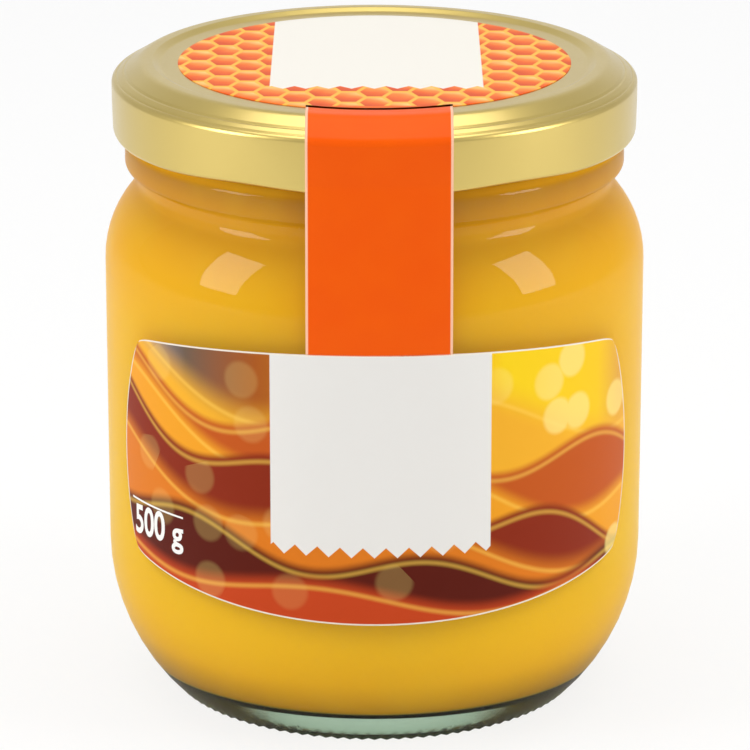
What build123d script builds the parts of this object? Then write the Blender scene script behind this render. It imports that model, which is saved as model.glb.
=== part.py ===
from build123d import *

import math
import os

# A 500 g jar of honey: a round glass jar with a rounded heel and shoulder, filled to the neck,
# a twist-off metal lid, a paper seal that runs from the lid down the front, and a paper label.
# Millimetres, +Z up. The origin is on the jar's axis, on the plane that it stands on, and -Y
# is the front.

# ---------------------------------------------------------------- glass jar
BODY_RADIUS = 41.35          # outside of the straight wall
WALL = 3.0                   # glass thickness of the side, shoulder and neck
RING_OUTER = 31.6            # outer edge of the ring that the jar stands on
RING_WIDTH = 2.1
PUSH_UP = 2.4                # how far the middle of the base stands above that ring
PUSH_UP_SLOPE = 3.5          # width of the slope between the ring and the push-up
HEEL_TURN = 45.0             # degrees between the wall and the heel's lowest stretch
HEEL_RADIUS = 32.0
FLOOR_HEIGHT = 5.5           # top of the glass bottom, where the honey starts
INNER_HEEL_RADIUS = 14.0
SHOULDER_BEND_HEIGHT = 74.4  # where the line of the wall and the line of the shoulder meet
SHOULDER_TURN = 44.5         # degrees between those two lines
SHOULDER_RADIUS = 15.7
NECK_RADIUS = 36.1           # outside of the groove between the shoulder and the bead
NECK_HEIGHT = 2.3            # from the shoulder's line up to the underside of the bead
NECK_FILLET = 2.0
BEAD_STANDOFF = 2.0          # the ring of glass under the lid stands out from the neck
BEAD_HEIGHT = 5.2
BEAD_RISE = 0.6              # slope of the bead's upper and lower sides
FINISH_HEIGHT = 11.3         # glass inside the lid's skirt, from the bead up to the brim
BRIM_FILLET = 1.4

# ---------------------------------------------------------------- lid
SKIRT_CLEARANCE = 1.6        # between the bead and the skirt, seen from above
LID_SHEET = 0.25             # tinplate
LID_HEIGHT = 10.9            # from the skirt's lower edge to the top of the ridge
RIDGE_INSET = 1.2            # the ridge's flat top is narrower than the brim by this
RIDGE_RISE = 0.6             # the ridge stands this far above the middle panel
RIDGE_SLOPE = 1.1            # width of the slope from the panel up to the ridge
LID_SHOULDER_DROP = 2.7      # the rounded edge ends this far below the ridge
LID_SHOULDER_RADIUS = 3.0    # where the ridge turns into the rounded edge
LID_EDGE_RADIUS = 1.6        # where the rounded edge turns into the skirt
CURL_RADIUS = 0.7            # the skirt's lower edge is rolled inwards

# ---------------------------------------------------------------- honey
HONEY_ABOVE_SKIRT = 1.2      # the honey stands this far above the skirt's lower edge

# ---------------------------------------------------------------- paper
PAPER = 0.12
SEAL_DISC_RADIUS = 29.86     # round sticker on the lid's panel
SEAL_WIDTH = 21.5            # strip from that sticker down the front to the label
SEAL_CENTRE_X = 0.7
CREASE_RADIUS = 3.0          # where the strip leaves the skirt for the jar's shoulder
LABEL_CENTRE = 0.4           # along the wall, from the front to the right
LABEL_TOP_WIDTH = 86.2       # along the wall, between the upper corners
LABEL_MIDDLE_WIDTH = 95.2    # each side bows out
LABEL_BOTTOM_WIDTH = 88.8
LABEL_BELOW_WALL_TOP = 3.6   # the top edge's middle lies this far under the end of the wall
LABEL_HEIGHT = 42.0          # in the middle
LABEL_TOP_BOW = 3.4          # the upper corners lie this far below the top edge's middle
LABEL_BOTTOM_BOW = 4.5       # the lower corners lie this far above the bottom edge's middle

SLOPE = math.tan(math.radians(SHOULDER_TURN))
HALF_TURN = math.tan(math.radians(SHOULDER_TURN / 2))

heel_bend_height = (BODY_RADIUS - RING_OUTER) / math.tan(math.radians(HEEL_TURN))
wall_top = SHOULDER_BEND_HEIGHT - SHOULDER_RADIUS * HALF_TURN
neck_bend_height = SHOULDER_BEND_HEIGHT + (BODY_RADIUS - NECK_RADIUS) / SLOPE
bead_bottom = neck_bend_height + NECK_HEIGHT
bead_top = bead_bottom + BEAD_HEIGHT
bead_radius = NECK_RADIUS + BEAD_STANDOFF
mouth_radius = NECK_RADIUS - WALL
brim_height = bead_top + FINISH_HEIGHT
lid_top = brim_height + LID_SHEET
lid_radius = bead_radius + SKIRT_CLEARANCE + LID_SHEET
skirt_bottom = lid_top - LID_HEIGHT
honey_level = skirt_bottom + HONEY_ABOVE_SKIRT
label_top = wall_top - LABEL_BELOW_WALL_TOP
label_bottom = label_top - LABEL_HEIGHT


# ---------------------------------------------------------------- turned shapes
def radial(radius, height):
    """A corner of a turned outline: distance from the axis, and height."""
    return Vector(radius, 0, height)


def fitting_radii(corners, wishes):
    """Fillet radii for the inner corners of a polyline.

    Each is the radius wished for, or less where its two runs are too short for it.
    """
    turns = []
    for before, here, after in zip(corners, corners[1:], corners[2:]):
        turns.append(math.radians((here - before).get_angle(after - here)))
    tangents = [0.0] + [wish * math.tan(turn / 2) for wish, turn in zip(wishes, turns)] + [0.0]
    shares = []
    for start, end, first, last in zip(corners, corners[1:], tangents, tangents[1:]):
        run = 0.98 * (end - start).length
        shares.append(min(1.0, run / (first + last)) if first + last > 0 else 1.0)
    return [wish * min(left, right) for wish, left, right in zip(wishes, shares, shares[1:])]


def parallel(corners, radii, distance):
    """The same polyline moved sideways, to the outside where distance is above zero.

    Travel is from the axis outwards and down, so the outside lies to the left.
    """
    normals = []
    for start, end in zip(corners, corners[1:]):
        along = (end - start).normalized()
        normals.append(Vector(-along.Z, 0, along.X))
    moved = [corners[0] + normals[0] * distance]
    moved_radii = []
    for here, radius, before, after in zip(corners[1:], radii, normals, normals[1:]):
        moved.append(here + (before + after) * (distance / (1 + before.dot(after))))
        outer_side = before.cross(after).Y > 0
        moved_radii.append(radius + distance if outer_side else radius - distance)
    moved.append(corners[-1] + normals[-1] * distance)
    return moved, moved_radii


def turned(*outlines):
    """The solid that a closed chain of outlines on the XZ plane sweeps round the Z axis."""
    edges = []
    for number, outline in enumerate(outlines):
        edges.extend(outline.edges())
        following = outlines[(number + 1) % len(outlines)]
        if (following @ 0 - outline @ 1).length > 1e-6:
            edges.append(Line(outline @ 1, following @ 0).edge())
    return revolve(make_face(edges), Axis.Z)


def turned_sheet(corners, radii, distance):
    """A sheet between an outline and the outline parallel to it."""
    near = FilletPolyline(*corners, radius=fitting_radii(corners, radii))
    moved, moved_radii = parallel(corners, radii, distance)
    far_radii = fitting_radii(moved, moved_radii)
    far = FilletPolyline(*reversed(moved), radius=list(reversed(far_radii)))
    return turned(near, far)


# ---------------------------------------------------------------- glass jar and honey
def jar_inside():
    """Inner side of the glass, from the brim down to the axis. The honey fills it."""
    inset = WALL * HALF_TURN
    corners = [
        radial(mouth_radius, brim_height),
        radial(mouth_radius, neck_bend_height - inset),
        radial(BODY_RADIUS - WALL, SHOULDER_BEND_HEIGHT - inset),
        radial(BODY_RADIUS - WALL, FLOOR_HEIGHT),
        radial(0, FLOOR_HEIGHT),
    ]
    return corners, [NECK_FILLET + WALL, SHOULDER_RADIUS - WALL, INNER_HEEL_RADIUS]


def make_glass_jar():
    ring_inner = RING_OUTER - RING_WIDTH
    finish_radius = NECK_RADIUS
    corners = [
        radial(0, PUSH_UP),
        radial(ring_inner - PUSH_UP_SLOPE, PUSH_UP),
        radial(ring_inner, 0),
        radial(RING_OUTER, 0),
        radial(BODY_RADIUS, heel_bend_height),
        radial(BODY_RADIUS, SHOULDER_BEND_HEIGHT),
        radial(NECK_RADIUS, neck_bend_height),
        radial(NECK_RADIUS, bead_bottom),
        radial(bead_radius, bead_bottom + BEAD_RISE),
        radial(bead_radius, bead_top - BEAD_RISE),
        radial(finish_radius, bead_top),
        radial(finish_radius, brim_height),
    ]
    radii = [3.0, 1.0, 0.8, HEEL_RADIUS, SHOULDER_RADIUS, NECK_FILLET, 1.0, 1.3, 0.8, 0.5]
    inner_corners, inner_radii = jar_inside()
    corners = corners + inner_corners
    radii = radii + [BRIM_FILLET, BRIM_FILLET] + inner_radii
    return turned(FilletPolyline(*corners, radius=fitting_radii(corners, radii)))


def make_honey():
    corners, radii = jar_inside()
    inside = turned(
        FilletPolyline(*corners, radius=fitting_radii(corners, radii)),
        Line(radial(0, FLOOR_HEIGHT), radial(0, brim_height)),
    )
    room = Cylinder(BODY_RADIUS, honey_level, align=(Align.CENTER, Align.CENTER, Align.MIN))
    return inside & room


# ---------------------------------------------------------------- lid
def lid_outside():
    """Outer side of the lid, from the middle of the panel to where the skirt starts."""
    panel_height = lid_top - RIDGE_RISE
    ridge_middle = (mouth_radius + NECK_RADIUS) / 2
    ridge_width = WALL - RIDGE_INSET
    ridge_inner = ridge_middle - ridge_width / 2
    corners = [
        radial(0, panel_height),
        radial(ridge_inner - RIDGE_SLOPE, panel_height),
        radial(ridge_inner, lid_top),
        radial(ridge_inner + ridge_width, lid_top),
        radial(lid_radius, lid_top - LID_SHOULDER_DROP),
    ]
    return corners, [1.0, 0.6, LID_SHOULDER_RADIUS, LID_EDGE_RADIUS]


def make_lid():
    corners, radii = lid_outside()
    curl_end = lid_radius - 2 * CURL_RADIUS
    corners = corners + [
        radial(lid_radius, skirt_bottom),
        radial(curl_end, skirt_bottom),
        radial(curl_end, skirt_bottom + 1.4 * CURL_RADIUS),
    ]
    return turned_sheet(corners, radii + [CURL_RADIUS, CURL_RADIUS], -LID_SHEET)


# ---------------------------------------------------------------- paper
def on_wall(along, height):
    """A point of the label, laid round the wall and seen from the front."""
    return Vector(BODY_RADIUS * math.sin(along / BODY_RADIUS), 0, height)


def bowed_edge(start, middle, end):
    """One edge of the label: an arc on the flat paper, laid round the wall.

    Each point is a pair: distance along the wall, and height.
    """
    flat = ThreePointArc(Vector(*start), Vector(*middle), Vector(*end))
    spots = [flat @ (step / 8) for step in range(9)]
    return Spline(*[on_wall(spot.X, spot.Y) for spot in spots])


def label_prism():
    """The label's outline as a block that reaches through the front half of the wall."""
    upper = label_top - LABEL_TOP_BOW
    lower = label_bottom + LABEL_BOTTOM_BOW
    middle = (upper + lower) / 2
    left_upper = (LABEL_CENTRE - LABEL_TOP_WIDTH / 2, upper)
    right_upper = (LABEL_CENTRE + LABEL_TOP_WIDTH / 2, upper)
    left_lower = (LABEL_CENTRE - LABEL_BOTTOM_WIDTH / 2, lower)
    right_lower = (LABEL_CENTRE + LABEL_BOTTOM_WIDTH / 2, lower)
    edges = [
        bowed_edge(left_upper, (LABEL_CENTRE, label_top), right_upper),
        bowed_edge(right_upper, (LABEL_CENTRE + LABEL_MIDDLE_WIDTH / 2, middle), right_lower),
        bowed_edge(right_lower, (LABEL_CENTRE, label_bottom), left_lower),
        bowed_edge(left_lower, (LABEL_CENTRE - LABEL_MIDDLE_WIDTH / 2, middle), left_upper),
    ]
    face = make_face([edge.edge() for edge in edges])
    return extrude(face, amount=BODY_RADIUS + 10, dir=(0, -1, 0))


def make_front_label():
    height = wall_top - heel_bend_height
    placed = Pos(0, 0, heel_bend_height)
    align = (Align.CENTER, Align.CENTER, Align.MIN)
    sleeve = Cylinder(BODY_RADIUS + PAPER, height, align=align)
    sleeve = sleeve - Cylinder(BODY_RADIUS, height, align=align)
    return (placed * sleeve) & label_prism()


def strip_bend_height(skirt_end):
    """Height at which the strip's free run, from the skirt, would meet the wall's line.

    Rounded there with the shoulder's own radius, the strip just lies on the glass.
    """
    centre = radial(BODY_RADIUS - SHOULDER_RADIUS, wall_top)
    away = skirt_end - centre
    lean = math.atan2(away.Z, away.X) - math.acos(SHOULDER_RADIUS / away.length)
    return wall_top + SHOULDER_RADIUS * math.tan(lean / 2)


def make_top_seal():
    corners, radii = lid_outside()
    skirt_end = radial(lid_radius, skirt_bottom + 2 * CURL_RADIUS)
    corners = corners + [
        skirt_end,
        radial(BODY_RADIUS, strip_bend_height(skirt_end)),
        radial(BODY_RADIUS, label_top - LABEL_TOP_BOW),
    ]
    skin = turned_sheet(corners, radii + [CREASE_RADIUS, SHOULDER_RADIUS], PAPER)
    disc = Pos(0, 0, lid_top) * Cylinder(SEAL_DISC_RADIUS, 4 * RIDGE_RISE)
    reach = BODY_RADIUS + 10
    strip = Pos(SEAL_CENTRE_X, -reach / 2, lid_top / 2) * Box(SEAL_WIDTH, reach, 2 * lid_top)
    return (skin & (disc + strip)) - label_prism()


os.makedirs("parts", exist_ok=True)
NODES = {
    "glass_jar": make_glass_jar,
    "honey": make_honey,
    "lid": make_lid,
    "top_seal": make_top_seal,
    "front_label": make_front_label,
}
for name, make in NODES.items():
    export_step(make(), os.path.join("parts", name + ".step"))
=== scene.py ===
import math

import bmesh
import bpy
import numpy as np
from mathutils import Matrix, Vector


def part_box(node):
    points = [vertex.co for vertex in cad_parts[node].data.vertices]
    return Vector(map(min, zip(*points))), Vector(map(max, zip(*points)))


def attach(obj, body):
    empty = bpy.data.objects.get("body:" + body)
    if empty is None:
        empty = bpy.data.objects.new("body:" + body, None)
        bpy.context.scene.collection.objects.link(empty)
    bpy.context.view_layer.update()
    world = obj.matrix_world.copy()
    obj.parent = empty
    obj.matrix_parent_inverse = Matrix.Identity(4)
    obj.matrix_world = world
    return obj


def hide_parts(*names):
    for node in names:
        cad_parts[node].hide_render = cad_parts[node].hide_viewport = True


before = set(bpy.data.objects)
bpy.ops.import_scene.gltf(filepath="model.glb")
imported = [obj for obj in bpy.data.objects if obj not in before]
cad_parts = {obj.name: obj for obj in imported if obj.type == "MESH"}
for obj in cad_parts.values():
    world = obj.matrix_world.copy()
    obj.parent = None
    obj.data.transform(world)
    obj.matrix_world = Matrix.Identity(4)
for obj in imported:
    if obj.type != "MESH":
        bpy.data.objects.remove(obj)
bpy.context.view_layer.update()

# A jar of creamed honey: clear soda-lime glass, a gold lacquered tinplate lid, an orange paper
# seal and a printed paper label. Lengths below are in millimetres and the meshes in metres.
# -Y is the front, and "along" is a distance round the wall from the front, to the right.

MM = 0.001
TAU = 2 * math.pi

# ------------------------------------------------------------- sizes, from the frame
jar_low, jar_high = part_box("glass_jar")
honey_low, honey_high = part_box("honey")
lid_low, lid_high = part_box("lid")
label_low, label_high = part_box("front_label")

BODY_R = (jar_high[0] - jar_low[0]) / 2 / MM
BRIM_Z = jar_high[2] / MM
WALL = BODY_R - (honey_high[0] - honey_low[0]) / 2 / MM
FLOOR_Z = honey_low[2] / MM
HONEY_Z = honey_high[2] / MM
LID_R = (lid_high[0] - lid_low[0]) / 2 / MM
LID_TOP = lid_high[2] / MM
SKIRT_Z = lid_low[2] / MM
LABEL_TOP = label_high[2] / MM
LABEL_BOTTOM = label_low[2] / MM

# Glass, as built
RING_OUTER, RING_WIDTH, PUSH_UP, PUSH_UP_SLOPE = 31.6, 2.1, 2.4, 3.5
HEEL_RADIUS, INNER_HEEL_RADIUS = 32.0, 14.0
SHOULDER_BEND_Z, SHOULDER_TURN, SHOULDER_RADIUS = 74.4, math.radians(44.5), 15.7
NECK_R, NECK_FILLET, NECK_HEIGHT = 36.1, 2.0, 2.3
BEAD_R, BEAD_HEIGHT, BEAD_RISE = 38.1, 5.2, 0.6
MOUTH_R = NECK_R - WALL
GLASS_RADII = [3.0, 1.0, 0.8, HEEL_RADIUS, SHOULDER_RADIUS, NECK_FILLET, 1.0, 1.3, 0.8, 0.5]
BRIM_FILLET = 1.37
RING_DASHES, DASH_RISE = 106, 0.32   # moulded bumps round the standing ring
CALM = 0.62                          # the share of the glass that shows no mirror gloss

# Lid, as built
SHEET = 0.25
RIDGE_MIDDLE, RIDGE_WIDTH, RIDGE_RISE, RIDGE_SLOPE = (MOUTH_R + NECK_R) / 2, 1.8, 0.6, 1.1
EDGE_DROP, CURL_R = 2.7, 0.7
LID_RADII = [1.0, 0.6, 2.4, 0.3, 0.15, 0.3, 0.3, 0.12, 0.12, 0.9, 0.68, 0.68]
LUGS, LUG_WAVE, LUG_START = 6, 0.5, math.radians(31)   # the skirt's edge lifts between the lugs

# Paper, as built
PAPER = 0.12
INK = 0.03                                              # white ink on the label
DISC_R, STRIP_WIDTH, STRIP_X = 29.86, 21.5, 0.7
LABEL_MIDDLE_S, LABEL_TOP_WIDTH, LABEL_MIDDLE_WIDTH, LABEL_BOTTOM_WIDTH = 0.4, 86.2, 95.2, 88.8
TOP_BOW, BOTTOM_BOW, LABEL_CORNER = 3.4, 4.5, 1.2
CARD_LEFT, CARD_RIGHT, CARD_FOOT = -15.7, 17.7, 33.8   # the white field on the label
PINK_PITCH, PINK_DEPTH = 3.4, 1.6                       # its pinked lower edge
DISC_CARD_LEFT, DISC_CARD_RIGHT, DISC_CARD_FOOT = -15.6, 16.2, -16.4   # and the sticker's field
TAB_END = -27.2              # the sticker is plain orange from here on, under the strip
CELL, CELL_STRETCH = 4.39, 1.45
SKY_WIDTH = 90.0             # the label's ground runs through its colours once in this width
CUT_SOFT = 0.08              # half the width over which one printed colour turns to the next

# Honey, as filled
REACH = 0.08                 # it lies this far into the wall, so that no air shows between

slope = math.tan(SHOULDER_TURN)
half_turn = math.tan(SHOULDER_TURN / 2)
neck_bend_z = SHOULDER_BEND_Z + (BODY_R - NECK_R) / slope
bead_z = neck_bend_z + NECK_HEIGHT
wall_top = SHOULDER_BEND_Z - SHOULDER_RADIUS * half_turn
panel_z = LID_TOP - RIDGE_RISE


# ------------------------------------------------------------- materials
def linear(code, alpha=1.0):
    """An sRGB hex colour as linear red, green, blue and alpha."""
    parts = [int(code[i:i + 2], 16) / 255 for i in (1, 3, 5)]
    return tuple(c / 12.92 if c <= 0.04045 else ((c + 0.055) / 1.055) ** 2.4 for c in parts) + (alpha,)


MATH, MIX, MAP, RAMP = ("ShaderNodeMath", "ShaderNodeMix", "ShaderNodeMapRange",
                        "ShaderNodeValToRGB")
ADD, SUBTRACT, MULTIPLY, DIVIDE, MULTIPLY_ADD, MINIMUM, MAXIMUM = ({"operation": name} for name in (
    "ADD", "SUBTRACT", "MULTIPLY", "DIVIDE", "MULTIPLY_ADD", "MINIMUM", "MAXIMUM"))
ABSOLUTE, SINE, WRAP, PINGPONG, LESS_THAN = ({"operation": name} for name in (
    "ABSOLUTE", "SINE", "WRAP", "PINGPONG", "LESS_THAN"))
COLOUR = {"data_type": "RGBA"}                     # a mix of colours: share, below, above
SMOOTH = {"interpolation_type": "SMOOTHSTEP"}      # a map from 0 to 1: value, start, end


def add(tree, kind, settings=None, *values, **links):
    """Add one node. Settings are its properties, and "stops" a ramp's (place, hex) stops.

    Values go to its live inputs in order, and links to inputs by name. Each is a number or
    colour, another node (its first live output), or a pair of node and output.
    """
    node = tree.nodes.new(kind)
    for name, value in (settings or {}).items():
        if name == "stops":
            set_stops(node.color_ramp.elements, value)
        else:
            setattr(node, name, value)
    live = [socket for socket in node.inputs if socket.enabled]
    named = [(node.inputs[name.replace("_", " ")], value) for name, value in links.items()]
    for socket, value in list(zip(live, values)) + named:
        if isinstance(value, tuple) and isinstance(value[0], bpy.types.Node):
            tree.links.new(value[0].outputs[value[1]], socket)
        elif isinstance(value, bpy.types.Node):
            tree.links.new(next(out for out in value.outputs if out.enabled), socket)
        else:
            socket.default_value = value
    return node


def set_stops(elements, stops):
    """Give a colour ramp its stops, each a place from 0 to 1 and a hex colour."""
    while len(elements) < len(stops):
        elements.new(0.5)
    for element, (place, code) in zip(elements, stops):
        element.position = place
        element.color = linear(code)


def fresh(name):
    """A new empty material, its node tree and its output node."""
    material = bpy.data.materials.new(name)
    material.use_nodes = True
    tree = material.node_tree
    tree.nodes.clear()
    return material, tree, tree.nodes.new("ShaderNodeOutputMaterial")


def make_glass():
    """Soda-lime glass, pressed and fire polished: clear, with a green edge where it is thick.

    Light that only passes through on its way to the honey goes straight on, as it nearly does.
    Most of the mirror gloss is held back, as a studio's dark flags do for a jar.
    """
    material, tree, out = fresh("soda_lime_glass")
    glass = add(tree, "ShaderNodeBsdfPrincipled", Base_Color=linear("#FAFDFB"), Roughness=0.0,
                IOR=1.52, Transmission_Weight=1.0)
    bent = add(tree, "ShaderNodeBsdfRefraction", Color=linear("#FAFDFB"), Roughness=0.0, IOR=1.52)
    calm = add(tree, "ShaderNodeMixShader", None, CALM, glass, bent)
    through = add(tree, "ShaderNodeBsdfTransparent", Color=linear("#F6FBF4"))
    path = add(tree, "ShaderNodeLightPath")
    straight = add(tree, MATH, MAXIMUM, (path, "Is Shadow Ray"), (path, "Is Diffuse Ray"))
    both = add(tree, "ShaderNodeMixShader", None, straight, calm, through)
    tint = add(tree, "ShaderNodeVolumeAbsorption", Color=linear("#A6D6B4"), Density=14.0)
    tree.links.new(both.outputs[0], out.inputs["Surface"])
    tree.links.new(tint.outputs[0], out.inputs["Volume"])
    return material


def make_honey_material():
    """Creamed honey: opaque, finely crystallised, deep yellow, paler where light soaks in.

    Clouds about 12 mm wide stand for slightly lighter and darker batches of crystals. Under the
    lid and near the glass bottom its colour is painted deeper and browner, as painted shade,
    since less light reaches it there.
    Its flat underside is given a green mirror finish, a painted reflection that stands in for
    the green glass bottom as it shows when seen at a low angle.
    """
    material, tree, out = fresh("creamed_honey")
    place = add(tree, "ShaderNodeTexCoord")
    axes = add(tree, "ShaderNodeSeparateXYZ", Vector=(place, "Object"))
    height = add(tree, MATH, DIVIDE, (axes, "Z"), HONEY_Z * MM)
    # The colour by height: the honey's own deep yellow in the middle, with painted shade, darker and
    # browner, towards the top under the lid and towards the bottom
    body = add(tree, RAMP, {"stops": [
        (0.06, "#DA9600"), (0.13, "#FAB400"), (0.3, "#FFC000"), (0.7, "#FFB900"),
        (0.84, "#F8AA00"), (0.92, "#E8980A"), (1.0, "#C87E0A"),
    ]}, height)
    clouds = add(tree, "ShaderNodeTexNoise", Vector=(place, "Object"), Scale=1 / (12 * MM),
                 Detail=3.0)
    paler = add(tree, MAP, SMOOTH, clouds, 0.4, 0.75)
    soft = add(tree, MATH, MULTIPLY, paler, 0.22)
    colour = add(tree, MIX, COLOUR, soft, body, linear("#F8C020"))
    grain = add(tree, "ShaderNodeTexNoise", Vector=(place, "Object"), Scale=1 / (0.4 * MM),
                Detail=2.0)
    relief = add(tree, "ShaderNodeBump", Strength=0.05, Distance=0.2 * MM, Height=grain)
    # Painted reflection: near the floor the honey turns into a smooth green mirror, standing in for the
    # green glass bottom seen at a low angle
    under = add(tree, MAP, SMOOTH, (axes, "Z"), (FLOOR_Z + 0.9) * MM, (FLOOR_Z + 0.25) * MM)
    colour = add(tree, MIX, COLOUR, under, colour, linear("#6E8A50"))
    rough = add(tree, MATH, MULTIPLY_ADD, under, -0.42, 0.5)
    skin = add(tree, "ShaderNodeBsdfPrincipled", Base_Color=colour, Roughness=rough, IOR=1.49,
               Metallic=under, Specular_IOR_Level=0.1, Normal=relief)
    tree.links.new(skin.outputs[0], out.inputs["Surface"])
    return material


def make_lacquer():
    """Tinplate under a clear gold lacquer, drawn and stamped: satin, pale yellow, faint grain."""
    material, tree, out = fresh("gold_lacquered_tinplate")
    place = add(tree, "ShaderNodeTexCoord")
    cloud = add(tree, "ShaderNodeTexNoise", Vector=(place, "Object"), Scale=1 / (18 * MM))
    tone = add(tree, MIX, COLOUR, cloud, linear("#D2B968"), linear("#DAC272"))
    fine = add(tree, "ShaderNodeTexNoise", Vector=(place, "Object"), Scale=1 / (0.5 * MM))
    gloss = add(tree, MAP, Value=fine, To_Min=0.27, To_Max=0.35)
    metal = add(tree, "ShaderNodeBsdfPrincipled", Base_Color=tone, Metallic=1.0, Roughness=gloss,
                Coat_Weight=0.35, Coat_Roughness=0.12)
    tree.links.new(metal.outputs[0], out.inputs["Surface"])
    return material


def paper_shader(tree, out, colour, roughness=0.42):
    """Coated printing paper: a smooth satin sheet with a weak gloss from the coating."""
    place = add(tree, "ShaderNodeTexCoord")
    fibre = add(tree, "ShaderNodeTexNoise", Vector=(place, "Object"), Scale=1 / (0.7 * MM))
    relief = add(tree, "ShaderNodeBump", Strength=0.06, Distance=0.05 * MM, Height=fibre)
    sheet = add(tree, "ShaderNodeBsdfPrincipled", Base_Color=colour, Roughness=roughness,
                Specular_IOR_Level=0.1, Normal=relief)
    tree.links.new(sheet.outputs[0], out.inputs["Surface"])


def pinked(tree, along, edge):
    """Height of a pinked edge: straight teeth, PINK_DEPTH deep, one each PINK_PITCH."""
    teeth = add(tree, MATH, PINGPONG, along, PINK_PITCH / 2)
    return add(tree, MATH, MULTIPLY_ADD, teeth, 2 * PINK_DEPTH / PINK_PITCH, edge - PINK_DEPTH / 2)


def inside(tree, value, low, high, soft=CUT_SOFT):
    """One between low and high, else zero, with a soft step at each end."""
    up = add(tree, MAP, SMOOTH, value, low - soft, low + soft)
    down = add(tree, MAP, SMOOTH, value, high + soft, high - soft)
    return add(tree, MATH, MULTIPLY, up, down)


def make_strip_paper():
    """Orange coated paper. The cut edges show the white of the sheet."""
    material, tree, out = fresh("orange_coated_paper")
    uv = add(tree, "ShaderNodeUVMap", {"uv_map": "mm"})
    spot = add(tree, "ShaderNodeSeparateXYZ", Vector=uv)
    across = add(tree, MATH, ABSOLUTE, (spot, "X"))
    rim = add(tree, MAP, SMOOTH, across, STRIP_WIDTH / 2 - 0.45, STRIP_WIDTH / 2 - 0.3)
    cloud = add(tree, "ShaderNodeTexNoise", Vector=uv, Scale=0.12)
    tone = add(tree, MIX, COLOUR, cloud, linear("#F25500"), linear("#F56000"))
    edge = add(tree, MIX, COLOUR, add(tree, MATH, MULTIPLY, rim, 0.75), tone, linear("#FBD9B8"))
    paper_shader(tree, out, edge, 0.36)
    return material


def make_disc_paper():
    """The round sticker's print: honeycomb in glowing orange with golden walls, and a white card.

    The cells are six-sided, flat side up, CELL high and stretched by CELL_STRETCH towards the
    back: the nearest of two sets of centres gives the distance to the cell's wall.
    """
    material, tree, out = fresh("honeycomb_printed_paper")
    uv = add(tree, "ShaderNodeUVMap", {"uv_map": "mm"})
    spot = add(tree, "ShaderNodeSeparateXYZ", Vector=uv)
    x = add(tree, MATH, DIVIDE, (spot, "X"), CELL)
    y = add(tree, MATH, DIVIDE, (spot, "Y"), CELL * CELL_STRETCH)
    half_pitch = math.sqrt(3) / 2

    def nearest(shift):
        """Place against the nearest centre of one set: the second is shifted by half a pitch."""
        side = add(tree, MATH, WRAP, add(tree, MATH, ADD, x, shift * half_pitch), half_pitch, -half_pitch)
        up = add(tree, MATH, WRAP, add(tree, MATH, ADD, y, shift * 0.5), 0.5, -0.5)
        return side, up

    def wall_distance(side, up):
        """Distance from a cell's centre, measured square to the nearest of its six walls."""
        flat = add(tree, MATH, ABSOLUTE, up)
        lean = add(tree, MATH, MULTIPLY_ADD, add(tree, MATH, ABSOLUTE, side), half_pitch,
                    add(tree, MATH, MULTIPLY, flat, 0.5))
        return add(tree, MATH, MAXIMUM, flat, lean)

    first, second = nearest(0), nearest(1)
    first_d, second_d = wall_distance(*first), wall_distance(*second)
    reach = add(tree, MATH, MINIMUM, first_d, second_d)
    pick = add(tree, MATH, LESS_THAN, second_d, first_d)
    glint_x = add(tree, MIX, None, pick, first[0], second[0])
    glint_y = add(tree, MIX, None, pick, first[1], second[1])
    glow = add(tree, MATH, MULTIPLY_ADD, glint_y, 0.9, add(tree, MATH, MULTIPLY, glint_x, 0.35))
    cloud = add(tree, "ShaderNodeTexNoise", Vector=uv, Scale=0.16)
    lift = add(tree, MATH, MULTIPLY_ADD, cloud, 0.6, add(tree, MATH, ADD, glow, 0.15))
    fill = add(tree, RAMP, {"stops": [
        (0.1, "#D94A08"), (0.4, "#EC6410"), (0.62, "#F38A30"), (0.9, "#FBC878"),
    ]}, lift)
    wall = add(tree, MAP, SMOOTH, reach, 0.40, 0.46)
    comb = add(tree, MIX, COLOUR, wall, fill, linear("#FBB941"))
    card_side = inside(tree, (spot, "X"), DISC_CARD_LEFT, DISC_CARD_RIGHT)
    above_foot = add(tree, MATH, SUBTRACT, (spot, "Y"), pinked(tree, (spot, "X"), DISC_CARD_FOOT))
    card = add(tree, MATH, MULTIPLY, card_side, add(tree, MAP, SMOOTH, above_foot, -CUT_SOFT, CUT_SOFT))
    tab = inside(tree, (spot, "X"), STRIP_X - STRIP_WIDTH / 2, STRIP_X + STRIP_WIDTH / 2)
    tab = add(tree, MATH, MULTIPLY, tab, add(tree, MAP, SMOOTH, (spot, "Y"), TAB_END, TAB_END - 0.4))
    printed = add(tree, MIX, COLOUR, card, comb, linear("#ECE8DF"))
    printed = add(tree, MIX, COLOUR, tab, printed, linear("#F76600"))
    paper_shader(tree, out, printed, 0.38)
    return material


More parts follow.
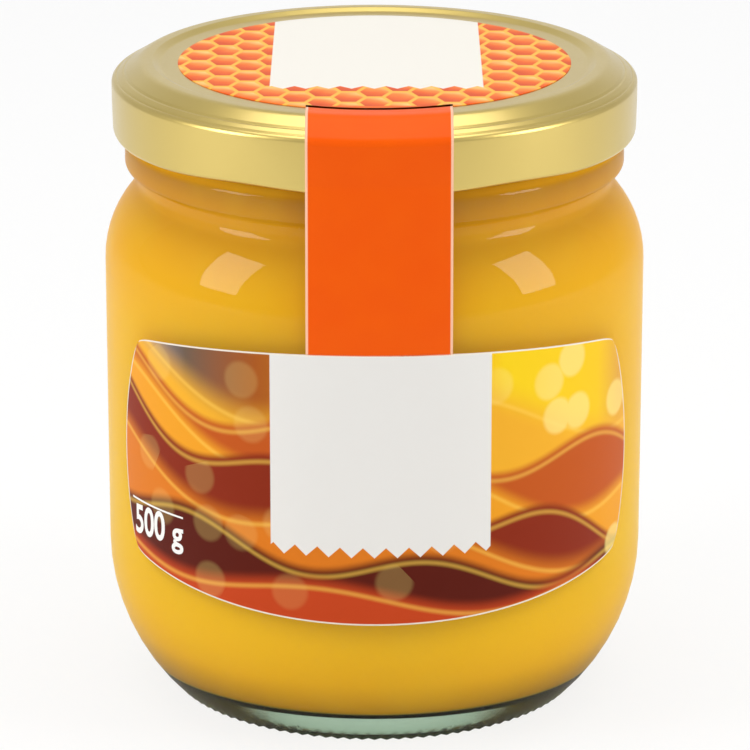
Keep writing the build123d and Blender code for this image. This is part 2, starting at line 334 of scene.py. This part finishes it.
def make_label_paper():
    """The label's print: swells of honey, from pale gold to brown, a bright field and soft discs.

    Each swell is a band whose edge is a sum of two sine waves along the label.
    """
    material, tree, out = fresh("printed_label_paper")
    uv = add(tree, "ShaderNodeUVMap", {"uv_map": "mm"})
    spot = add(tree, "ShaderNodeSeparateXYZ", Vector=uv)
    along, up = (spot, "X"), (spot, "Y")

    def swell(base, rise, length, phase, tilt):
        """Height of one swell's edge along the label."""
        wave = add(tree, MATH, SINE, add(tree, MATH, MULTIPLY_ADD, along, TAU / length, phase))
        return add(tree, MATH, MULTIPLY_ADD, wave, rise, add(tree, MATH, MULTIPLY_ADD, along, tilt, base))

    picture = add(tree, RAMP, {"stops": [
        (0.0, "#8A93AC"), (0.16, "#6E5A4A"), (0.3, "#A8571C"), (0.62, "#F2A415"),
        (0.72, "#FAD31A"), (0.93, "#F7C81C"), (1.0, "#E3A63C"),
    ]}, add(tree, MATH, MULTIPLY_ADD, along, 1 / SKY_WIDTH, 0.5))
    # base, rise and length of a swell, its phase and tilt, its colour and how soft its edge is
    swells = [
        (56, 4.0, 60, 0.4, -0.10, "#F3B02C", 3.5),
        (51, 3.2, 44, 2.2, -0.16, "#C2571A", 0.8),
        (46, 3.4, 52, 0.9, -0.20, "#F0A023", 1.6),
        (42, 3.0, 40, 3.4, -0.24, "#8A2A10", 0.7),
        (37, 3.2, 56, 1.3, -0.18, "#DE7A1C", 2.2),
        (32, 2.2, 38, 0.2, -0.12, "#5A1709", 0.9),
        (27, 1.6, 48, 2.6, -0.06, "#C4441A", 1.4),
    ]
    for base, rise, length, phase, tilt, code, soft in swells:
        edge = swell(base, rise, length, phase, tilt)
        depth = add(tree, MATH, SUBTRACT, edge, up)
        below = add(tree, MAP, SMOOTH, depth, -soft, soft)
        picture = add(tree, MIX, COLOUR, below, picture, linear(code))
        shine = add(tree, MATH, SUBTRACT, depth, 0.9)
        streak = inside(tree, shine, 0.0, 0.5, 0.45)
        picture = add(tree, MIX, COLOUR, add(tree, MATH, MULTIPLY, streak, 0.55), picture, linear("#FFCF57"))

    cells = add(tree, "ShaderNodeTexVoronoi", {"voronoi_dimensions": "2D"}, Vector=uv, Scale=0.13,
                Randomness=0.9)
    disc = add(tree, MAP, SMOOTH, (cells, "Distance"), 0.42, 0.3)
    chosen = add(tree, MAP, SMOOTH, (cells, "Color"), 0.52, 0.56)
    right = add(tree, MAP, SMOOTH, along, 16.0, 30.0)
    soft_disc = add(tree, MATH, MULTIPLY, add(tree, MATH, MULTIPLY, disc, chosen),
                     add(tree, MATH, MULTIPLY_ADD, right, 0.5, 0.12))
    picture = add(tree, MIX, COLOUR, soft_disc, picture, linear("#FFE58A"))

    above_foot = add(tree, MATH, SUBTRACT, up, pinked(tree, along, CARD_FOOT))
    card = add(tree, MATH, MULTIPLY, inside(tree, along, CARD_LEFT, CARD_RIGHT),
                add(tree, MAP, SMOOTH, above_foot, -CUT_SOFT, CUT_SOFT))
    picture = add(tree, MIX, COLOUR, card, picture, linear("#EAE8E4"))
    rim = add(tree, "ShaderNodeAttribute", {"attribute_name": "edge_distance"})
    bare = add(tree, MAP, SMOOTH, (rim, "Fac"), 0.3, 0.18)
    picture = add(tree, MIX, COLOUR, bare, picture, linear("#F4EBDD"))
    paper_shader(tree, out, picture, 0.4)
    return material


def make_ink():
    """White printing ink, smooth and flat."""
    material, tree, out = fresh("white_ink")
    place = add(tree, "ShaderNodeTexCoord")
    cloud = add(tree, "ShaderNodeTexNoise", Vector=(place, "Object"), Scale=1 / (3 * MM))
    tone = add(tree, MIX, COLOUR, cloud, linear("#F2F0EC"), linear("#F8F6F2"))
    ink = add(tree, "ShaderNodeBsdfPrincipled", Base_Color=tone, Roughness=0.42)
    tree.links.new(ink.outputs[0], out.inputs["Surface"])
    return material


# ------------------------------------------------------------- mesh
def grid_mesh(name, points, material, close_u=False, close_v=False, uv=None, extra=None):
    """A surface from an array of points, rows by columns by three, in millimetres.

    close_u joins the last column to the first, close_v the last row to the first. Quads run
    row by row, so their front is columns crossed with rows.
    """
    rows, columns = points.shape[:2]
    down = np.arange(rows if close_v else rows - 1)
    side = np.arange(columns if close_u else columns - 1)
    r, c = np.meshgrid(down, side, indexing="ij")
    r2, c2 = (r + 1) % rows, (c + 1) % columns
    quads = np.stack([r * columns + c, r * columns + c2, r2 * columns + c2, r2 * columns + c], -1)
    quads = quads.reshape(-1, 4)
    mesh = bpy.data.meshes.new(name)
    mesh.from_pydata((points.reshape(-1, 3) * MM).tolist(), [], quads.tolist())
    mesh.polygons.foreach_set("use_smooth", np.ones(len(quads), bool))
    if uv is not None:
        layer = mesh.uv_layers.new(name="mm")
        layer.data.foreach_set("uv", uv.reshape(-1, 2)[quads.reshape(-1)].ravel())
    if extra is not None:
        values = mesh.attributes.new("edge_distance", "FLOAT", "POINT")
        values.data.foreach_set("value", extra.ravel().astype(np.float32))
    mesh.update()
    piece = bpy.data.objects.new(name, mesh)
    bpy.context.scene.collection.objects.link(piece)
    piece.data.materials.append(material)
    return piece


def rounded(corners, radii, arc_steps=10):
    """A polyline of (r, z) corners with each inner corner turned into an arc of its radius.

    The arc starts radius times tan(half the turn) before the corner and is a circle's: with t
    from 0 to 1 the point turns evenly about the arc's centre.
    """
    corners = np.array(corners, float)
    runs = np.diff(corners, axis=0)
    lengths = np.hypot(*runs.T)
    along = runs / lengths[:, None]
    line = [corners[:1]]
    for i, radius in enumerate(radii):
        before, after = along[i], along[i + 1]
        cross = before[0] * after[1] - before[1] * after[0]
        turn = math.atan2(cross, before @ after)
        tangent = radius * math.tan(abs(turn) / 2)
        start = corners[i + 1] - before * tangent
        normal = np.array([-before[1], before[0]]) * math.copysign(1, turn)
        centre = start + normal * radius
        angles = np.linspace(0, turn, max(3, int(arc_steps * (0.4 + abs(turn)))))
        spoke = start - centre
        cos, sin = np.cos(angles), np.sin(angles)
        line.append(np.stack([centre[0] + spoke[0] * cos - spoke[1] * sin,
                              centre[1] + spoke[0] * sin + spoke[1] * cos], 1))
    line.append(corners[-1:])
    return np.vstack(line)


def refined(line, step):
    """The same line with points no further apart than step."""
    pieces = []
    for start, end in zip(line, line[1:]):
        count = max(1, int(math.ceil(np.hypot(*(end - start)) / step)))
        pieces.append(start + (end - start) * np.linspace(0, 1, count, endpoint=False)[:, None])
    return np.vstack(pieces + [line[-1:]])


def shifted(line, distance):
    """The line moved sideways by distance, to the left of its travel."""
    along = np.gradient(line, axis=0)
    along /= np.maximum(np.hypot(*along.T), 1e-9)[:, None]
    return line + np.stack([-along[:, 1], along[:, 0]], 1) * distance


def turn_round(name, line, material, segments=256, shape=None):
    """A profile of (r, z) turned about Z: x = r sin a, y = -r cos a. shape may bend it by a."""
    angles = np.arange(segments) * TAU / segments
    r = np.repeat(line[:, :1], segments, 1)
    z = np.repeat(line[:, 1:], segments, 1)
    if shape is not None:
        r, z = shape(r, z, np.broadcast_to(angles, r.shape))
    points = np.stack([r * np.sin(angles), -r * np.cos(angles), z], -1)
    return close_poles(grid_mesh(name, points, material, close_u=True))


def close_poles(piece):
    """Merge the points that lie on the axis, and turn every face outwards."""
    work = bmesh.new()
    work.from_mesh(piece.data)
    bmesh.ops.remove_doubles(work, verts=work.verts, dist=0.004 * MM)
    bmesh.ops.recalc_face_normals(work, faces=work.faces)
    work.to_mesh(piece.data)
    work.free()
    piece.data.update()
    return piece


# ------------------------------------------------------------- glass and honey
def jar_inside():
    """Corners and radii of the inner side of the glass, from the brim down to the axis."""
    inset = WALL * half_turn
    corners = [(MOUTH_R, BRIM_Z), (MOUTH_R, neck_bend_z - inset),
               (BODY_R - WALL, SHOULDER_BEND_Z - inset), (BODY_R - WALL, FLOOR_Z), (0, FLOOR_Z)]
    return corners, [NECK_FILLET + WALL, SHOULDER_RADIUS - WALL - 0.2, INNER_HEEL_RADIUS]


def jar_outside():
    """Corners and radii of the outer side, from the axis under the base up to the brim."""
    ring_inner = RING_OUTER - RING_WIDTH
    bead_top = bead_z + BEAD_HEIGHT
    corners = [(0, PUSH_UP), (ring_inner - PUSH_UP_SLOPE, PUSH_UP), (ring_inner, 0),
               (RING_OUTER, 0), (BODY_R, BODY_R - RING_OUTER), (BODY_R, SHOULDER_BEND_Z),
               (NECK_R, neck_bend_z), (NECK_R, bead_z), (BEAD_R, bead_z + BEAD_RISE),
               (BEAD_R, bead_top - BEAD_RISE), (NECK_R, bead_top), (NECK_R, BRIM_Z)]
    return corners, GLASS_RADII


def knurled_ring(r, z, angle):
    """Moulded bumps on the standing ring: the glass near the table lifts by a raised cosine.

    The lift fades out evenly from the table to 1.1 mm above it, and inwards over 1 mm.
    """
    low = np.clip(1 - z / 1.1, 0, 1) * np.clip(r - (RING_OUTER - 3.0), 0, 1)
    return r, z + DASH_RISE * low * (0.5 - 0.5 * np.cos(RING_DASHES * angle))


def make_jar(material):
    corners, radii = jar_outside()
    inner_corners, inner_radii = jar_inside()
    line = rounded(corners + inner_corners, radii + [BRIM_FILLET] * 2 + inner_radii, 8)
    line = refined(line, 3.0)
    return turn_round("jar_glass", line, material, 4 * RING_DASHES, knurled_ring)


def make_honey(material):
    """The honey reaches REACH into the glass. Its top dips by 0.5 in the middle and rises at the wall."""
    corners, radii = jar_inside()
    outward = shifted(refined(rounded(corners, radii, 16), 1.2), REACH)
    kept = outward[outward[:, 1] < HONEY_Z]
    kept[-1, 0] = 0
    top = np.array([[0, HONEY_Z - 0.5], [20, HONEY_Z - 0.45], [MOUTH_R - 4, HONEY_Z - 0.3],
                    [MOUTH_R - 1, HONEY_Z - 0.05], [MOUTH_R + REACH, HONEY_Z]])
    return turn_round("creamed_honey", np.vstack([refined(top, 1.5), kept]), material, 256)


# ------------------------------------------------------------- lid
def lid_line():
    """Outer side of the lid from the middle of the panel to the end of its rolled edge.

    Two fine steps are pressed into the rounded edge outside the ridge.
    """
    inner = RIDGE_MIDDLE - RIDGE_WIDTH / 2
    edge = LID_TOP - EDGE_DROP
    flat_r = inner + RIDGE_WIDTH
    lean = EDGE_DROP / (LID_R - flat_r)

    def on_edge(r, below=0.0):
        """A point on the straight edge outside the ridge, or below it."""
        return (r, LID_TOP - lean * (r - flat_r) - below)

    corners = [(0, panel_z), (inner - RIDGE_SLOPE, panel_z), (inner, LID_TOP), (flat_r, LID_TOP),
               on_edge(37.7), on_edge(38.0, 0.13), on_edge(38.3), on_edge(38.95),
               on_edge(39.2, 0.1), on_edge(39.4, -0.02), (LID_R, edge),
               (LID_R, SKIRT_Z), (LID_R - 2 * CURL_R, SKIRT_Z),
               (LID_R - 2 * CURL_R, SKIRT_Z + 1.4 * CURL_R)]
    return refined(rounded(corners, LID_RADII, 10), 1.6)


def lug_wave(r, z, angle):
    """The skirt's lower edge lifts by a raised cosine squared, LUGS times round, and pulls in."""
    low = np.clip(1 - (z - SKIRT_Z) / 5.0, 0, 1) * (r > LID_R - 3)
    wave = (0.5 + 0.5 * np.cos(LUGS * (angle - LUG_START))) ** 2
    return r - 0.12 * low * wave * (r > LID_R - 2), z + LUG_WAVE * low * wave


def make_lid(material):
    outer = lid_line()
    inner = shifted(outer, -SHEET)[::-1]
    inner[-1, 0] = 0
    return turn_round("lid_tinplate", np.vstack([outer, inner]), material, 320, lug_wave)


# ------------------------------------------------------------- paper
def closed_sheet(name, front, side, material, uv, extra=None, ring=False):
    """A sheet of paper with its printed face at front. Its back lies a little less than PAPER

    behind it, which is on side 1 or -1 of the faces as they were made.
    """
    piece = grid_mesh(name, front, material, close_u=ring, uv=uv, extra=extra)
    if ring:
        close_poles(piece)
    solid = piece.modifiers.new("thickness", "SOLIDIFY")
    solid.thickness = PAPER * MM * 0.9
    solid.offset = side
    return piece


def make_disc(material):
    """The round sticker: rings from the middle out, its face PAPER above the panel."""
    radii = np.concatenate([np.linspace(0, DISC_R - 0.1, 40), [DISC_R]])
    angles = np.arange(192) * TAU / 192
    r, a = np.meshgrid(radii, angles, indexing="ij")
    x, y = r * np.sin(a), -r * np.cos(a)
    z = np.full_like(x, panel_z + PAPER)
    z[-1] -= 0.04
    points = np.stack([x, y, z], -1)
    return closed_sheet("lid_sticker", points, -1, material, np.stack([x, y], -1), ring=True)


def strip_path():
    """The strip's line in (r, z): over the ridge and edge, down the skirt, across, to the label."""
    corner = (LID_R, SKIRT_Z + 2 * CURL_R)
    centre = np.array([BODY_R - SHOULDER_RADIUS, wall_top])
    away = np.array(corner) - centre
    lean = math.atan2(away[1], away[0]) - math.acos(SHOULDER_RADIUS / np.hypot(*away))
    bend = wall_top + SHOULDER_RADIUS * math.tan(lean / 2)
    inner = RIDGE_MIDDLE - RIDGE_WIDTH / 2
    corners = [(DISC_R - 1.2, panel_z), (inner - RIDGE_SLOPE, panel_z), (inner, LID_TOP),
               (inner + RIDGE_WIDTH, LID_TOP), (LID_R, LID_TOP - EDGE_DROP), corner,
               (BODY_R, bend), (BODY_R, LABEL_TOP - 0.12)]
    return rounded(corners, [1.0, 0.6, 3.0, 1.6, 3.0, SHOULDER_RADIUS], 14)


def make_strip(material):
    """The strip: at each place across, x is fixed and y is minus the root of r^2 - x^2."""
    path = shifted(refined(strip_path(), 0.45), PAPER)
    length = np.concatenate([[0], np.cumsum(np.hypot(*np.diff(path, axis=0).T))])
    across = np.linspace(-1, 1, 61) * STRIP_WIDTH / 2
    r, x = np.meshgrid(path[:, 0], across + STRIP_X, indexing="ij")
    s, t = np.meshgrid(length, across, indexing="ij")
    z = np.repeat(path[:, 1:], len(across), 1)
    on_edge = np.exp(-((z - (LID_TOP - 1.6)) / 1.3) ** 2)
    crease = 0.035 * on_edge * np.sin(3.1 * s + 0.6 * np.sin(0.5 * t)) * np.cos(0.16 * t + 0.5)
    free = np.clip((SKIRT_Z + 1 - z) / 4, 0, 1) * np.clip((z - wall_top - 1) / 5, 0, 1)
    ripple = 0.10 * free * np.sin(0.35 * t + 1.0) * np.sin(0.22 * s)
    r = r + np.abs(crease) * (z > LID_TOP - 4) + np.abs(ripple)
    y = -np.sqrt(r ** 2 - x ** 2)
    label_edge = LABEL_TOP - TOP_BOW * (BODY_R * np.arcsin(x / BODY_R) / (LABEL_TOP_WIDTH / 2)) ** 2
    z = np.where(z < LABEL_TOP + 1, np.minimum(z, LABEL_TOP + 1)
                 - (LABEL_TOP - label_edge) * np.clip(LABEL_TOP + 1 - z, 0, 1), z)
    points = np.stack([x, y, z], -1)
    return closed_sheet("seal_strip", points, 1, material, np.stack([t, s], -1))


def label_grid(rows=121, columns=241):
    """Label points on the flat paper: (along, up), and the distance to the nearest edge.

    Up runs between two bowed edges, parabolas over the width; the half width is itself a
    parabola in height, so that the sides bow out. Near each corner the outline is pulled in
    along a superellipse, which rounds it by about LABEL_CORNER.
    """
    v, u = np.meshgrid(np.linspace(1, -1, rows), np.linspace(-1, 1, columns), indexing="ij")
    square_u = u * np.sqrt(1 - 0.028 * v ** 16)
    upper = LABEL_TOP - TOP_BOW * u ** 2
    lower = LABEL_BOTTOM + BOTTOM_BOW * u ** 2
    up = (upper + lower) / 2 + (upper - lower) / 2 * v * np.sqrt(1 - 0.05 * u ** 40)
    ends = LABEL_TOP_WIDTH + (LABEL_BOTTOM_WIDTH - LABEL_TOP_WIDTH) * (1 - v) / 2
    half = ends / 2 + (LABEL_MIDDLE_WIDTH - (LABEL_TOP_WIDTH + LABEL_BOTTOM_WIDTH) / 2) / 2 * (1 - v ** 2)
    along = LABEL_MIDDLE_S + half * square_u
    edge = np.minimum(half * (1 - np.abs(square_u)), (upper - lower) / 2 * (1 - np.abs(v)))
    return along, up, edge


def on_wall(along, up, stand=PAPER):
    """Flat paper laid round the wall: the angle is the distance along over the radius."""
    a = along / BODY_R
    r = BODY_R + stand
    return np.stack([r * np.sin(a), -r * np.cos(a), up], -1)


def make_label(material):
    along, up, edge = label_grid()
    return closed_sheet("front_label_paper", on_wall(along, up), 1, material,
                        np.stack([along, up], -1), edge)


def weight_mark(material):
    """The plain weight in condensed bold figures under a thin rule, wrapped on the label.

    Each row is name, words, left end, height of the foot, height of a figure and width of the
    words. The line climbs by a share of its length.
    """
    climb, start, end, rule_up, rule_thick = 0.085, -44.0, -31.6, 35.0, 0.3
    capital = 0.69               # height of a figure against the lettering's size
    pieces = []
    rows = (("weight_figures", "500", start, 29.8, 4.4, 8.2),
            ("weight_unit", "g", -34.2, 30.5, 3.9, 2.6))
    for name, words, left, foot, height, width in rows:
        curve = bpy.data.curves.new("lettering", "FONT")
        curve.body = words
        curve.offset = 0.022
        text = bpy.data.objects.new("lettering", curve)
        mesh = bpy.data.meshes.new_from_object(text)
        flat = np.empty(len(mesh.vertices) * 3)
        mesh.vertices.foreach_get("co", flat)
        flat = flat.reshape(-1, 3)
        span = flat[:, 0].max() - flat[:, 0].min()
        along = left + (flat[:, 0] - flat[:, 0].min()) / span * width
        up = foot + flat[:, 1] / capital * height + climb * (along - left)
        mesh.vertices.foreach_set("co", (on_wall(along, up, PAPER + INK) * MM).ravel())
        mesh.update()
        mesh.name = name
        piece = bpy.data.objects.new(name, mesh)
        bpy.context.scene.collection.objects.link(piece)
        bpy.data.objects.remove(text)
        mesh.materials.clear()
        mesh.materials.append(material)
        pieces.append(piece)
    along, step = np.meshgrid(np.linspace(start - 0.9, end, 30), [0.0, rule_thick])
    rule = on_wall(along, rule_up + step + 0.005 * (along - start), PAPER + INK)
    pieces.append(grid_mesh("weight_rule", rule, material))
    return pieces


glass = make_jar(make_glass())
honey = make_honey(make_honey_material())
lid = make_lid(make_lacquer())
disc = make_disc(make_disc_paper())
strip = make_strip(make_strip_paper())
label = make_label(make_label_paper())
marks = weight_mark(make_ink())

for piece, node, slot in ((glass, "glass_jar", "clear_glass"), (honey, "honey", "creamed_honey"),
                          (lid, "lid", "gold_lacquer"), (strip, "top_seal", "seal_paper"),
                          (label, "front_label", "label_paper")):
    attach(piece, "root")
    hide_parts(node)
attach(disc, "root")
for mark in marks:
    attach(mark, "root")


# ------------------------------------------------------------- floor, light and camera
def make_floor():
    """A wide pale sheet that curves up behind: y and z follow a flat, a quarter turn and a wall."""
    material, tree, out = fresh("studio_paper")
    grain = add(tree, "ShaderNodeTexNoise", Scale=900.0)
    tone = add(tree, MIX, COLOUR, grain, linear("#F4F4F3"), linear("#F7F7F6"))
    surface = add(tree, "ShaderNodeBsdfDiffuse", Color=tone)
    lit = add(tree, "ShaderNodeEmission", Color=(1, 1, 1, 1), Strength=1.0)
    path = add(tree, "ShaderNodeLightPath")
    bounced = add(tree, MATH, MAXIMUM, (path, "Is Glossy Ray"), (path, "Is Transmission Ray"))
    share = add(tree, MATH, MAXIMUM, add(tree, MATH, MULTIPLY, (path, "Is Camera Ray"), 0.8),
                 add(tree, MATH, MULTIPLY, bounced, 0.08))
    both = add(tree, "ShaderNodeMixShader", None, share, surface, lit)
    tree.links.new(both.outputs[0], out.inputs["Surface"])
    reach, back, high, bend = 1500.0, 900.0, 1500.0, 400.0
    turn = np.linspace(0, math.pi / 2, 24)
    y = np.concatenate([[-reach], back - bend + bend * np.sin(turn), [back]])
    z = np.concatenate([[0], bend - bend * np.cos(turn), [high]])
    x = np.linspace(-reach, reach, 3)
    points = np.stack([np.repeat(x[None], len(y), 0), np.repeat(y[:, None], 3, 1),
                       np.repeat(z[:, None], 3, 1)], -1)
    piece = grid_mesh("studio_floor", points, material)


def make_world():
    """White surroundings for what reflects and for the eye, and an even soft light for the rest."""
    world = bpy.data.worlds.new("studio")
    bpy.context.scene.world = world
    world.use_nodes = True
    tree = world.node_tree
    tree.nodes.clear()
    path = add(tree, "ShaderNodeLightPath")
    seen = add(tree, MATH, MAXIMUM, (path, "Is Camera Ray"),
                add(tree, MATH, MAXIMUM, (path, "Is Glossy Ray"), (path, "Is Transmission Ray")))
    plain = add(tree, MAP, Value=(path, "Is Camera Ray"), To_Min=0.55, To_Max=1.0)
    strength = add(tree, MATH, MAXIMUM, plain, add(tree, MATH, MULTIPLY, seen, 0.6))
    sky = add(tree, "ShaderNodeBackground", Color=(1, 1, 1, 1), Strength=strength)
    out = tree.nodes.new("ShaderNodeOutputWorld")
    tree.links.new(sky.outputs[0], out.inputs["Surface"])


def soft_box(name, place, width, height, power):
    """A flat lamp at place, in millimetres, facing the middle of the jar."""
    lamp = bpy.data.lights.new(name, "AREA")
    lamp.shape = "RECTANGLE"
    lamp.size = width * MM
    lamp.size_y = height * MM
    lamp.energy = power
    holder = bpy.data.objects.new(name, lamp)
    bpy.context.scene.collection.objects.link(holder)
    spot = np.array(place) * MM
    holder.location = spot
    facing = Vector((0, 0, 0.05)) - Vector(spot)
    holder.rotation_euler = facing.to_track_quat("-Z", "Y").to_euler()


def make_camera():
    """The viewing place: in front and up, looking down, with a long lens."""
    distance, height, down, lens = 686.5, 268.2, math.radians(17.777), 222.92
    camera = bpy.data.cameras.new("view")
    camera.lens = lens
    camera.sensor_width = 36.0
    camera.shift_x = 0.0007
    camera.shift_y = 0.0007
    camera.clip_start = 0.01
    holder = bpy.data.objects.new("view", camera)
    bpy.context.scene.collection.objects.link(holder)
    holder.location = (0, -distance * MM, height * MM)
    holder.rotation_euler = (math.pi / 2 - down, 0, 0)
    bpy.context.scene.camera = holder


make_floor()
make_world()
soft_box("window_left", (-640, -260, 380), 260, 460, 2.2)
soft_box("window_right", (660, -220, 360), 240, 460, 2.0)
soft_box("overhead", (0, 50, 760), 620, 460, 1.9)
make_camera()
bpy.context.scene.view_settings.view_transform = "Standard"
